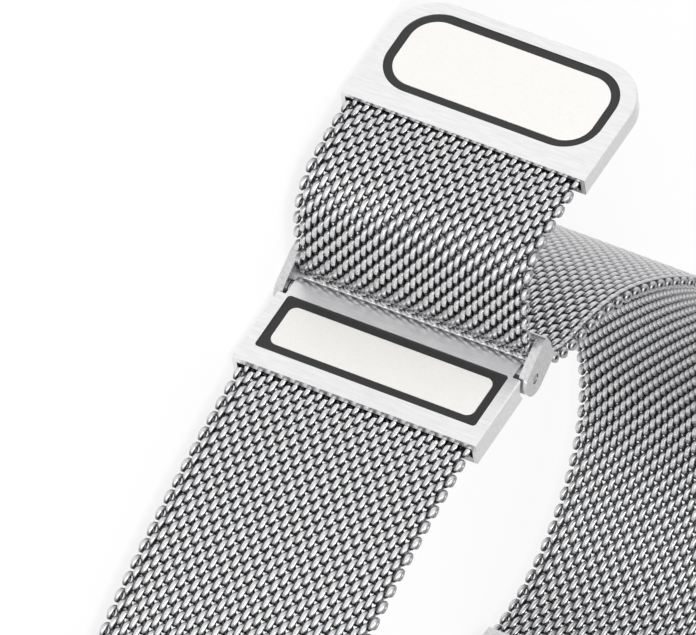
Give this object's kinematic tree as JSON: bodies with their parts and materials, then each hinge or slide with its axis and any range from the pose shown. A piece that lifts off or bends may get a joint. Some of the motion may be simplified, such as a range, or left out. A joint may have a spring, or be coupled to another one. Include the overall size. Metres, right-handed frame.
{
  "type": "milanese mesh watch band",
  "caption": "Woven steel mesh watch band with a hinged clasp loop, a fold-back magnetic end cap and quick-release spring bars.",
  "frame": {"origin": "middle of the clasp block's flat wrist side", "axes": "+X along the clasp towards the short strap, +Y from the clasp towards the wrist, +Z across the band; the band stands on its -Z side edge"},
  "size_m": [0.0882, 0.0804, 0.024],
  "materials": {
    "polished_steel": "finely satined and polished stainless steel",
    "mesh_steel": "bright drawn stainless wire",
    "face_plate": "plain silver-white plate, unmarked",
    "black_tray": "matt black moulding",
    "magnet_nickel": "nickel plate",
    "bare_steel": "bare stainless steel"
  },
  "bodies": {
    "clasp_block": {"block_shell": "polished_steel", "block_back_plate": "polished_steel", "block_inlay_tray": "black_tray", "block_face_plate": "face_plate", "block_weld_bar": "bare_steel", "hinge_pins": "bare_steel", "short_mesh_1": "mesh_steel"},
    "loop": {"loop_frame": "polished_steel", "loop_mesh": "mesh_steel"},
    "tail_root": {"tail_mesh_root": "mesh_steel"},
    "end_cap": {"tail_mesh_end": "mesh_steel", "cap_shell": "polished_steel", "cap_back_cover": "polished_steel", "cap_inlay_tray": "black_tray", "cap_face_plate": "face_plate", "cap_magnets": "magnet_nickel", "cap_weld_bar": "bare_steel"},
    "long_strap_1": {"long_mesh_1": "mesh_steel"},
    "long_strap_2": {"long_mesh_2": "mesh_steel"},
    "long_strap_3": {"long_mesh_3": "mesh_steel"},
    "long_strap_end": {"long_mesh_4": "mesh_steel", "long_end_link": "polished_steel", "long_bar_barrel": "bare_steel", "long_bar_spring": "bare_steel"},
    "long_lever": {"long_bar_plunger": "bare_steel", "long_bar_lever": "bare_steel"},
    "short_strap_1": {"short_mesh_2": "mesh_steel"},
    "short_strap_2": {"short_mesh_3": "mesh_steel"},
    "short_strap_end": {"short_mesh_4": "mesh_steel", "short_end_link": "polished_steel", "short_bar_barrel": "bare_steel", "short_bar_spring": "bare_steel"},
    "short_lever": {"short_bar_plunger": "bare_steel", "short_bar_lever": "bare_steel"}
  },
  "joints": [
    {"name": "loop_swing", "type": "hinge", "parent": "clasp_block", "child": "loop", "pos_m": [-0.00435, -0.00115, 0], "axis": [0, 0, 1], "range_deg": [-24, 56]},
    {"name": "strap_turn", "type": "hinge", "parent": "loop", "child": "long_strap_1", "pos_m": [-0.00692, -0.00065, 0], "axis": [0, 0, -1], "range_deg": [-10, 10]},
    {"name": "tail_fold", "type": "hinge", "parent": "loop", "child": "tail_root", "pos_m": [-0.0055, -0.00385, 0], "axis": [0, 0, -1], "range_deg": [-28, 72]},
    {"name": "tail_bend", "type": "hinge", "parent": "tail_root", "child": "end_cap", "pos_m": [-0.00746, -0.01057, 0], "axis": [0, 0, 1], "range_deg": [-19, 48]},
    {"name": "long_flex_1", "type": "hinge", "parent": "long_strap_1", "child": "long_strap_2", "pos_m": [-0.0219, 0.00773, 0], "axis": [0, 0, -1], "range_deg": [-12, 12]},
    {"name": "long_flex_2", "type": "hinge", "parent": "long_strap_2", "child": "long_strap_3", "pos_m": [-0.03784, 0.0288, 0], "axis": [0, 0, -1], "range_deg": [-12, 12]},
    {"name": "long_flex_3", "type": "hinge", "parent": "long_strap_3", "child": "long_strap_end", "pos_m": [-0.04024, 0.05748, 0], "axis": [0, 0, -1], "range_deg": [-12, 12]},
    {"name": "short_flex_1", "type": "hinge", "parent": "clasp_block", "child": "short_strap_1", "pos_m": [0.01192, 0.00014, 0], "axis": [0, 0, 1], "range_deg": [-12, 12]},
    {"name": "short_flex_2", "type": "hinge", "parent": "short_strap_1", "child": "short_strap_2", "pos_m": [0.02498, 0.00391, 0], "axis": [0, 0, 1], "range_deg": [-12, 12]},
    {"name": "short_flex_3", "type": "hinge", "parent": "short_strap_2", "child": "short_strap_end", "pos_m": [0.04504, 0.03337, 0], "axis": [0, 0, 1], "range_deg": [-12, 12]},
    {"name": "long_lever_slide", "type": "slide", "parent": "long_strap_end", "child": "long_lever", "axis": [0, 0, -1], "range_m": [0, 0.0012], "stiffness_N_per_m": 600, "deforming": ["long_bar_spring"]},
    {"name": "short_lever_slide", "type": "slide", "parent": "short_strap_end", "child": "short_lever", "axis": [0, 0, -1], "range_m": [0, 0.0012], "stiffness_N_per_m": 600, "deforming": ["short_bar_spring"]}
  ],
  "couplings": [
    {"joint": "tail_bend", "follows": "tail_fold", "ratio": 0.65}
  ]
}
